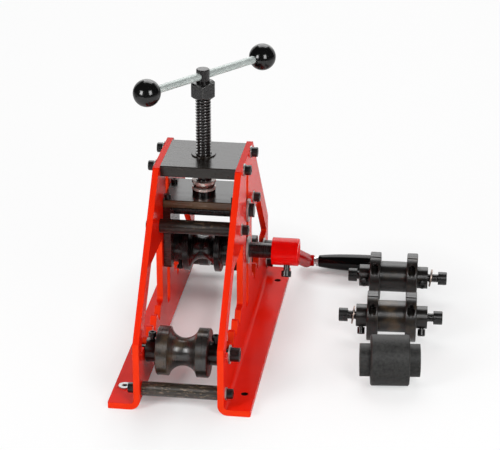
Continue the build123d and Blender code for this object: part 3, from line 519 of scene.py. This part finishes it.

# Finishes of pieces that differ from the rest of their kind
# Painted shade: the moving plate's flat faces, its top in the shadow of the top plate, are near black
brown_plate = oxide(
    "brown_oxide_plate", dark=(0.050, 0.026, 0.010), light=(0.095, 0.050, 0.022),
    roughness=0.22, gloss=0.55, grain=GROUND, grain_scale=GROUND_SCALE, painted_flat_shade=(0.006, 0.005, 0.004),
)
brown_cheek = oxide(
    "brown_oxide_cheek", dark=(0.034, 0.006, 0.005), light=(0.060, 0.012, 0.009),
    roughness=0.26, gloss=0.3, grain=GROUND, grain_scale=GROUND_SCALE,
)
streaked_bar = oxide(
    "streaked_bar", dark=(0.006, 0.005, 0.004), light=(0.040, 0.030, 0.020),
    roughness=0.34, gloss=0.8, grain=DRAWN, grain_scale=DRAWN_SCALE, lathe=0.5,
    patches={"colour": (0.170, 0.125, 0.080), "scale": 420, "stretch": PATCHES_DRAWN, "span": (0.54, 0.68)},
)
shaded_bar = oxide(
    "shaded_bar", dark=(0.004, 0.003, 0.002), light=(0.018, 0.013, 0.009),
    roughness=0.34, gloss=0.6, grain=DRAWN, grain_scale=DRAWN_SCALE, lathe=0.5,
    patches={"colour": (0.085, 0.060, 0.038), "scale": 420, "stretch": PATCHES_DRAWN, "span": (0.56, 0.70)},
)
worn_roller = oxide(
    "worn_roller", dark=(0.006, 0.005, 0.005), light=(0.020, 0.017, 0.014),
    roughness=0.30, gloss=0.9, grain=TURNED_X, lathe=0.6,
    patches={"colour": (0.060, 0.040, 0.022), "scale": 45, "stretch": EVEN, "span": (0.46, 0.66)},
)
worn_core = oxide(
    "worn_core", dark=(0.004, 0.003, 0.003), light=(0.014, 0.012, 0.010),
    roughness=0.32, gloss=0.62, grain=TURNED_X, lathe=0.6,
    patches={"colour": (0.075, 0.048, 0.024), "scale": 45, "stretch": EVEN, "span": (0.48, 0.68)},
)
# Painted shade: a darker copy of the turned oxide for the upper roller, which lies in shade between the
# plates
shaded_upper_roller = oxide(
    "shaded_upper_roller", dark=(0.002, 0.002, 0.002), light=(0.006, 0.005, 0.005),
    roughness=0.26, gloss=0.7, grain=TURNED_X, lathe=0.4,
)
matt_roller = oxide(
    "matt_oxide", dark=(0.006, 0.006, 0.006), light=(0.032, 0.032, 0.030),
    roughness=0.54, gloss=0.35, grain_scale=MATT_SCALE, edge=0.0010, relief=0.25,
)
smooth_boss = oxide(
    "smooth_oxide", dark=(0.003, 0.003, 0.003), light=(0.007, 0.006, 0.006),
    roughness=0.20, gloss=0.6,
)
# The nut's light edges are partly wear and partly a painted highlight on its vertical edge
bright_edged_nut = oxide(
    "nut_oxide", dark=(0.006, 0.006, 0.006), light=(0.014, 0.013, 0.013),
    roughness=0.26, gloss=0.6, edge=0.0012, rubbed=EDGE_WEAR_AND_HIGHLIGHT,
)
satin_bar = steel(
    "satin_zinc", dark=(0.43, 0.48, 0.46), light=(0.53, 0.58, 0.56),
    roughness=0.46, metallic=0.30,
)
bright_spindle = steel(
    "bright_spindle", dark=(0.62, 0.60, 0.61), light=(0.72, 0.70, 0.71),
    roughness=0.30,
)
tarnished = steel(
    "tarnished_zinc", dark=(0.30, 0.24, 0.21), light=(0.44, 0.36, 0.32),
    roughness=0.45,
)
# Painted shade: a darker copy of the crank's red paint, for the arm and the eye at its end
shaded_arm_paint = paint(
    "shaded_red_arm_paint", dark=(0.42, 0.001, 0.001), light=(0.48, 0.002, 0.001),
    roughness=0.22, gloss=0.005,
)
grip_plastic = plastic(
    "grip_plastic", dark=(0.002, 0.002, 0.002), light=(0.003, 0.003, 0.003),
    roughness=0.15, gloss=0.25,
)
thread_crests = oxide(
    "thread_crests", dark=(0.010, 0.008, 0.008), light=(0.022, 0.019, 0.018),
    roughness=0.16, gloss=1.0,
)
# A thin dark sheet on the anchor holes' walls, darker than the red paint around them
dark_hole_lining = oxide(
    "dark_hole_lining", dark=(0.012, 0.003, 0.002), light=(0.026, 0.005, 0.004),
    roughness=0.60, gloss=0.1,
)
own_finishes = {
    "moving_plate": brown_plate,
    "left_cheek": brown_cheek,
    "right_cheek": brown_cheek,
    "lower_front_spacer": streaked_bar,
    "lower_rear_spacer": streaked_bar,
    "upper_front_spacer": shaded_bar,
    "upper_rear_spacer": shaded_bar,
    "front_roller": worn_roller,
    "rear_roller": worn_roller,
    "near_spare_core": worn_core,
    "upper_roller": shaded_upper_roller,
    "spare_upper_roller": matt_roller,
    "bearing_boss": smooth_boss,
    "screw_nut": bright_edged_nut,
    "tommy_bar": satin_bar,
    "grip_spindle": bright_spindle,
    "crank_arm": shaded_arm_paint,
    "crank_grip": grip_plastic,
    "near_spare_washer": tarnished,
    "far_spare_washer": tarnished,
}
for subpart in frame["record"]["subparts"]:
    node = nodes[subpart["node"]]
    node.data.materials.clear()
    node.data.materials.append(own_finishes.get(subpart["node"], finishes[subpart["material_slot"]]))


def resized_shanks(name, node, shanks, radius, new_radius):
    """A copy of a node whose plain shanks have another radius, such as their threads' root."""
    mesh = nodes[node].data.copy()
    for start, end in shanks:
        way = (end - start).normalized()
        length = (end - start).length
        for vertex in mesh.vertices:
            offset = vertex.co - start
            along = offset.dot(way)
            outward = offset - way * along
            on_side = abs(outward.length - radius) < CLOSE
            if on_side and -CLOSE < along < length + CLOSE:
                vertex.co = start + way * along + outward * (new_radius / radius)
    return bpy.data.objects.new(name, mesh)


def widen_bar_hole(piece):
    """Opens the tommy bar's hole in the screw's head, and keeps its rims on the head's round side."""
    for vertex in piece.data.vertices:
        along = (vertex.co - BAR_MIDDLE).dot(BAR_WAY)
        outward = vertex.co - BAR_MIDDLE - BAR_WAY * along
        if abs(outward.length - BAR_HOLE_RADIUS) < CLOSE:
            outward *= WIDE_HOLE_RADIUS / BAR_HOLE_RADIUS
            rim = math.sqrt(HEAD_RADIUS**2 - outward.xy.length_squared)
            vertex.co = BAR_MIDDLE + BAR_WAY * math.copysign(rim, along) + outward


def shift(piece, chosen, by):
    """Moves the chosen vertices of a piece."""
    for vertex in piece.data.vertices:
        if chosen(vertex.co):
            vertex.co += by


def reshaped(name, node, chosen, by):
    """A copy of a node with the chosen vertices moved."""
    piece = bpy.data.objects.new(name, nodes[node].data.copy())
    shift(piece, chosen, by)
    return piece


def axle(spare):
    """The middle of a spare set's axle, and the way it runs to the right."""
    middle, turn = SPARE_AXLES[spare]
    return middle, Vector((math.cos(turn), math.sin(turn), 0))


def bolt_shank(middle, way, head):
    """A loose bolt's shank, from under its head to its tip, to a hundredth of a millimetre."""
    tip = head - math.copysign(BOLT_LENGTH, head)
    ends = (middle + way * head, middle + way * tip)
    return [Vector([round(value, PLACE_DIGITS) for value in end]) for end in ends]


def on_side_of(middle, way):
    """Chooses the points that lie past the middle of an axle, along a way."""
    return lambda point: (point - middle).dot(way) > 0


def thread_ridges(name, shanks, radius, root_radius, pitch):
    """The ridges that wind round shanks, from a little past each start to a little short of its end."""
    crest = pitch * CREST_SHARE / 2
    root = pitch * ROOT_SHARE / 2
    inner = root_radius - RIDGE_SINK
    flat = crest * CREST_FLAT
    shoulder = radius - crest * CREST_DROP
    upper_half = ((radius, flat), (shoulder, crest), (inner, root))
    section = [(r, -rise) for r, rise in reversed(upper_half)] + list(upper_half)
    corners = len(section)
    points = []
    faces = []
    for start, end in shanks:
        way = (end - start).normalized()
        side = way.orthogonal().normalized()
        up = way.cross(side)
        turns = ((end - start).length - 2 * root) / pitch
        steps = int(turns * STEPS_PER_TURN)
        first = len(points)
        for step in range(steps + 1):
            angle = 2 * math.pi * step / STEPS_PER_TURN
            outward = side * math.cos(angle) + up * math.sin(angle)
            along = root + pitch * step / STEPS_PER_TURN
            points += [start + outward * r + way * (along + rise) for r, rise in section]
        for step in range(steps):
            for corner in range(corners):
                here = first + step * corners + corner
                beside = first + step * corners + (corner + 1) % corners
                faces.append((here, here + corners, beside + corners, beside))
        faces.append(tuple(first + corner for corner in range(corners)))
        faces.append(tuple(first + steps * corners + corner for corner in reversed(range(corners))))
    mesh = bpy.data.meshes.new(name)
    mesh.from_pydata(points, [], faces)
    mesh.shade_smooth()
    mesh.set_sharp_from_angle(angle=SHARP_ANGLE)
    return bpy.data.objects.new(name, mesh)


def turned_piece(name, profile, place=(0, 0, 0), along_x=False):
    """A turned piece: the closed profile's points are distance along the axis, Z or X, and radius."""
    points = []
    for step in range(TURN_STEPS):
        angle = 2 * math.pi * step / TURN_STEPS
        for along, radius in profile:
            across = radius * math.cos(angle)
            up = radius * math.sin(angle)
            turned_point = (along, across, up) if along_x else (across, up, along)
            points.append(Vector(turned_point) + Vector(place))
    ring = len(profile)
    total = ring * TURN_STEPS
    faces = []
    for step in range(TURN_STEPS):
        for side in range(ring):
            here = step * ring + side
            beside = step * ring + (side + 1) % ring
            faces.append((here, beside, (beside + ring) % total, (here + ring) % total))
    mesh = bpy.data.meshes.new(name)
    mesh.from_pydata(points, [], faces)
    shape = bmesh.new()
    shape.from_mesh(mesh)
    bmesh.ops.remove_doubles(shape, verts=shape.verts, dist=1e-7)
    bmesh.ops.recalc_face_normals(shape, faces=shape.faces)
    shape.to_mesh(mesh)
    shape.free()
    mesh.shade_smooth()
    mesh.set_sharp_from_angle(angle=SHARP_ANGLE)
    return bpy.data.objects.new(name, mesh)


def dress(piece, body, finish):
    """Puts a new piece into the scene, on its body and in its finish."""
    bpy.context.scene.collection.objects.link(piece)
    piece.data.materials.clear()
    piece.data.materials.append(finish)
    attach(piece, body)


# Press screw
press_shank = [(UP * SHOULDER_HEIGHT, UP * NUT_HEIGHT)]
screw = resized_shanks("threaded_screw", "press_screw", press_shank, SCREW_RADIUS, SCREW_ROOT)
widen_bar_hole(screw)
dress(screw, "screw", finishes["dark_shaft_steel"])
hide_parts("press_screw")
ridge = thread_ridges("thread_ridge", press_shank, SCREW_RADIUS, SCREW_ROOT, SCREW_PITCH)
dress(ridge, "screw", thread_crests)

# Loose bolts of the spare sets
for spare, bolt_places in LOOSE_BOLTS.items():
    middle, way = axle(spare)
    shanks = [bolt_shank(middle, way, head) for head, moved in bolt_places]
    bolts = resized_shanks(f"{spare}_threaded_bolts", f"{spare}_bolts", shanks, BOLT_RADIUS, BOLT_ROOT)
    threads = thread_ridges(f"{spare}_bolt_threads", shanks, BOLT_RADIUS, BOLT_ROOT, BOLT_PITCH)
    for head, moved in bolt_places:
        for piece in (bolts, threads):
            shift(piece, on_side_of(middle, way * head), way * moved)
    dress(bolts, f"{spare}_set", finishes["black_fasteners"])
    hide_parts(f"{spare}_bolts")
    dress(threads, f"{spare}_set", thread_crests)

# Collar screws of the near spare set
near_middle, near_way = axle("near_spare")
collar_way = near_way.cross(UP) * math.sin(COLLAR_SCREW_TURN) + UP * math.cos(COLLAR_SCREW_TURN)
collar_heads = [near_middle + near_way * place + collar_way * COLLAR_SEAT for place in COLLAR_SCREW_PLACES]


def under_collar_head(point):
    """Whether a point lies on the underside of one of the collar screws' heads."""
    return any(
        abs((point - head).dot(collar_way)) < CLOSE and (point - head).length < COLLAR_HEAD_RADIUS
        for head in collar_heads
    )


seated = reshaped(
    "near_spare_seated_screws", "near_spare_screws", under_collar_head, collar_way * -COLLAR_HEAD_GROWTH
)
dress(seated, "near_spare_set", finishes["black_fasteners"])
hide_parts("near_spare_screws")

# Tommy bar
bar_shank = [[BAR_MIDDLE + BAR_WAY * reach for reach in BAR_REACH]]
bar = resized_shanks("thick_tommy_bar", "tommy_bar", bar_shank, BAR_RADIUS, THICK_BAR_RADIUS)
dress(bar, "tommy", satin_bar)
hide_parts("tommy_bar")

# Moving plate and top plate
further_back = Vector((0, REAR_REACH, 0))
deep_plate = reshaped("deep_moving_plate", "moving_plate", lambda point: point.y > PLATE_REAR, further_back)
dress(deep_plate, "carriage", brown_plate)
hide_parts("moving_plate")
further_down = UP * -UNDERSIDE_DROP
thick_plate = reshaped("thick_top_plate", "top_plate", lambda point: point.z < PLATE_UNDERSIDE, further_down)
dress(thick_plate, "frame", finishes["black_oxide_plate"])
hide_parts("top_plate")

# Thrust bearing and bush
upper_race = turned_piece("tall_upper_race", UPPER_RACE_PROFILE)
dress(upper_race, "screw", finishes["bearing_steel"])
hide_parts("bearing_upper_race")
lower_race = turned_piece("tall_lower_race", LOWER_RACE_PROFILE)
dress(lower_race, "carriage", finishes["bearing_steel"])
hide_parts("bearing_lower_race")
bush = turned_piece("raised_bush", BUSH_PROFILE)
dress(bush, "frame", finishes["black_oxide_plate"])
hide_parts("screw_bush")

# Grip, and the eye that holds its spindle
grip_low, grip_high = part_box("crank_grip")
grip_start = grip_low[0]
bore_end = grip_high[0] - GRIP_SOLID_END
grip_outline = [(grip_start + along, radius) for along, radius in GRIP_PROFILE]
grip_outline += [(grip_high[0], 0.0), (bore_end, 0.0), (bore_end, GRIP_BORE), (grip_start, GRIP_BORE)]
grip_axis = (0, (grip_low[1] + grip_high[1]) / 2, (grip_low[2] + grip_high[2]) / 2)
grip = turned_piece("blunt_grip", grip_outline, grip_axis, along_x=True)
dress(grip, "grip", grip_plastic)
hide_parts("crank_grip")
eye_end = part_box("crank_arm")[1][0] + EYE_PROUD
eye_profile = (
    (eye_end - EYE_LENGTH, EYE_BORE),
    (eye_end - EYE_LENGTH, EYE_RADIUS),
    (eye_end - EYE_EDGE, EYE_RADIUS),
    (eye_end, EYE_RADIUS - EYE_EDGE),
    (eye_end, EYE_BORE),
)
eye = turned_piece("arm_eye", eye_profile, grip_axis, along_x=True)
dress(eye, "drive", shaded_arm_paint)

# Thin dark sheets on the walls of the anchor holes
for side, x in (("left", -ANCHOR_X), ("right", ANCHOR_X)):
    for end, y in (("front", -ANCHOR_Y), ("rear", ANCHOR_Y)):
        lining = turned_piece(f"{side}_{end}_hole_wall", LINING_PROFILE, (x, y, 0))
        dress(lining, "frame", dark_hole_lining)


def stage_plane(name, size, place, turn=(0, 0, 0)):
    """A flat piece of the studio."""
    bpy.ops.mesh.primitive_plane_add(size=1, location=place, rotation=turn)
    plane = bpy.context.object
    plane.name = name
    plane.scale = (size[0], size[1], 1)
    return plane


def studio_white(name, glow_share, mirrored_share, shaded_areas=()):
    """White paper that keeps a soft shadow: a share of what the camera or a reflection sees is its own glow.

    In the shaded areas the camera sees less of the glow.
    """
    material = bpy.data.materials.new(name)
    material.use_nodes = True
    tree = material.node_tree
    tree.nodes.clear()
    output = tree.nodes.new("ShaderNodeOutputMaterial")
    diffuse = tree.nodes.new("ShaderNodeBsdfDiffuse")
    diffuse.inputs["Color"].default_value = (PAPER_SHADE, PAPER_SHADE, PAPER_SHADE, 1)
    glow = tree.nodes.new("ShaderNodeEmission")
    glow.inputs["Color"].default_value = (1, 1, 1, 1)
    glow.inputs["Strength"].default_value = 1.0
    path = tree.nodes.new("ShaderNodeLightPath")
    position = tree.nodes.new("ShaderNodeNewGeometry").outputs["Position"]
    least = glow_share
    for middle, one_over_reach, shaded_share in shaded_areas:
        offset = calculate(tree, "ShaderNodeVectorMath", "SUBTRACT", position, middle)
        scaled = calculate(tree, "ShaderNodeVectorMath", "MULTIPLY", offset.outputs["Vector"], one_over_reach)
        distance = calculate(tree, "ShaderNodeVectorMath", "LENGTH", scaled.outputs["Vector"])
        here = ramp(tree, distance.outputs["Value"], SHADE_RANGE, shaded_share, glow_share)
        least = calculate(tree, "ShaderNodeMath", "MINIMUM", least, here).outputs["Value"]
    seen = calculate(tree, "ShaderNodeMath", "MULTIPLY", path.outputs["Is Camera Ray"], least)
    in_mirrors = path.outputs["Is Glossy Ray"]
    share = calculate(
        tree, "ShaderNodeMath", "MULTIPLY_ADD", in_mirrors, mirrored_share, seen.outputs["Value"]
    )
    mix = tree.nodes.new("ShaderNodeMixShader")
    tree.links.new(share.outputs["Value"], mix.inputs["Fac"])
    tree.links.new(diffuse.outputs["BSDF"], mix.inputs[1])
    tree.links.new(glow.outputs["Emission"], mix.inputs[2])
    tree.links.new(mix.outputs["Shader"], output.inputs["Surface"])
    return material


def looking(place, aim):
    """The turn of a lamp or camera that looks from a place at an aim."""
    return (Vector(aim) - Vector(place)).to_track_quat("-Z", "Y").to_euler()


def softbox(name, place, width, height, power, mirrored=True):
    """A rectangular lamp that points at the machine, and may be kept out of reflections."""
    data = bpy.data.lights.new(name, "AREA")
    data.shape = "RECTANGLE"
    data.size = width
    data.size_y = height
    data.energy = power
    lamp = bpy.data.objects.new(name, data)
    lamp.location = place
    lamp.rotation_euler = looking(place, LAMP_AIM)
    lamp.visible_glossy = mirrored
    bpy.context.scene.collection.objects.link(lamp)


floor = stage_plane("floor", FLOOR_SIZE, FLOOR_PLACE)
floor.data.materials.append(studio_white("white_floor", FLOOR_GLOW, FLOOR_MIRRORED, SHADED_AREAS))
backdrop = stage_plane("backdrop", BACKDROP_SIZE, BACKDROP_PLACE, BACKDROP_TURN)
backdrop.data.materials.append(studio_white("white_backdrop", BACKDROP_GLOW, BACKDROP_MIRRORED))

softbox("left_softbox", (-0.70, -0.93, 0.65), width=0.40, height=0.55, power=9.0)
softbox("right_softbox", (0.60, -0.80, 0.68), width=0.38, height=0.55, power=6.6)
softbox("right_fill", (1.30, 0.05, 0.27), width=0.8, height=0.5, power=4.5, mirrored=False)
softbox("back_softbox", (0.0, 2.2, 1.0), width=2.4, height=0.9, power=8.0)
softbox("top_softbox", (0.0, 1.2, 1.7), width=1.4, height=1.2, power=20.0)

world = bpy.data.worlds.new("studio")
bpy.context.scene.world = world
world.use_nodes = True
sky = world.node_tree.nodes["Background"]
sky.inputs["Color"].default_value = (1, 1, 1, 1)
path = world.node_tree.nodes.new("ShaderNodeLightPath")
level = ramp(world.node_tree, path.outputs["Is Camera Ray"], (0, 1), WORLD_LIGHT, WORLD_SEEN)
world.node_tree.links.new(level, sky.inputs["Strength"])

camera_data = bpy.data.cameras.new("camera")
camera_data.sensor_fit = "HORIZONTAL"
camera_data.sensor_width = SENSOR_WIDTH
camera_data.lens = CAMERA_LENS
camera_data.clip_end = VIEW_END
camera = bpy.data.objects.new("camera", camera_data)
camera.location = CAMERA_PLACE
camera.rotation_euler = looking(CAMERA_PLACE, CAMERA_AIM)
bpy.context.scene.collection.objects.link(camera)
bpy.context.scene.camera = camera
bpy.context.scene.view_settings.view_transform = "Standard"
